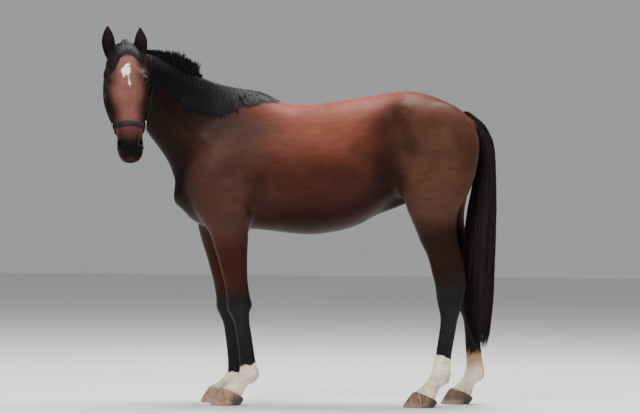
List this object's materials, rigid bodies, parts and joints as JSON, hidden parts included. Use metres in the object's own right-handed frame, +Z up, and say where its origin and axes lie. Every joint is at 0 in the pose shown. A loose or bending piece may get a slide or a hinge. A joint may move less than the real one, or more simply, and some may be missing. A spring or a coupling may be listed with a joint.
{
  "type": "horse",
  "caption": "Standing bay horse in side view with its head turned, mane on one side, full tail, white socks and a plain halter without a lead.",
  "frame": {"origin": "on the ground under the middle of the whole horse's box", "axes": "-X towards the chest, +X towards the tail, -Y to the side that the head is turned to, +Z up"},
  "size_m": [1.9867, 0.7589, 1.8927],
  "materials": {
    "coat": "short bay horse coat, lying flat, with a soft sheen",
    "dark_coat": "short black-brown hair with white socks",
    "hair": "long black mane and tail hair",
    "hoof": "horn, satin, with faint rings",
    "eye": "wet, dark brown",
    "leather": "dark halter strap, satin",
    "metal": "plain halter ring, worn"
  },
  "bodies": {
    "root": {"trunk": "coat", "neck": "coat", "head": "coat", "upper_fore_left": "coat", "upper_fore_right": "coat", "upper_hind_left": "coat", "upper_hind_right": "coat", "lower_fore_left": "dark_coat", "lower_fore_right": "dark_coat", "lower_hind_left": "dark_coat", "lower_hind_right": "dark_coat", "ear_left": "dark_coat", "ear_right": "dark_coat", "mane": "hair", "forelock": "hair", "tail_top": "hair", "tail_end": "hair", "hoof_fore_left": "hoof", "hoof_fore_right": "hoof", "hoof_hind_left": "hoof", "hoof_hind_right": "hoof", "eye_left": "eye", "eye_right": "eye", "noseband": "leather", "cheek_strap_left": "leather", "cheek_strap_right": "leather", "crownpiece": "leather", "halter_ring_left": "metal", "halter_ring_right": "metal"}
  },
  "joints": []
}
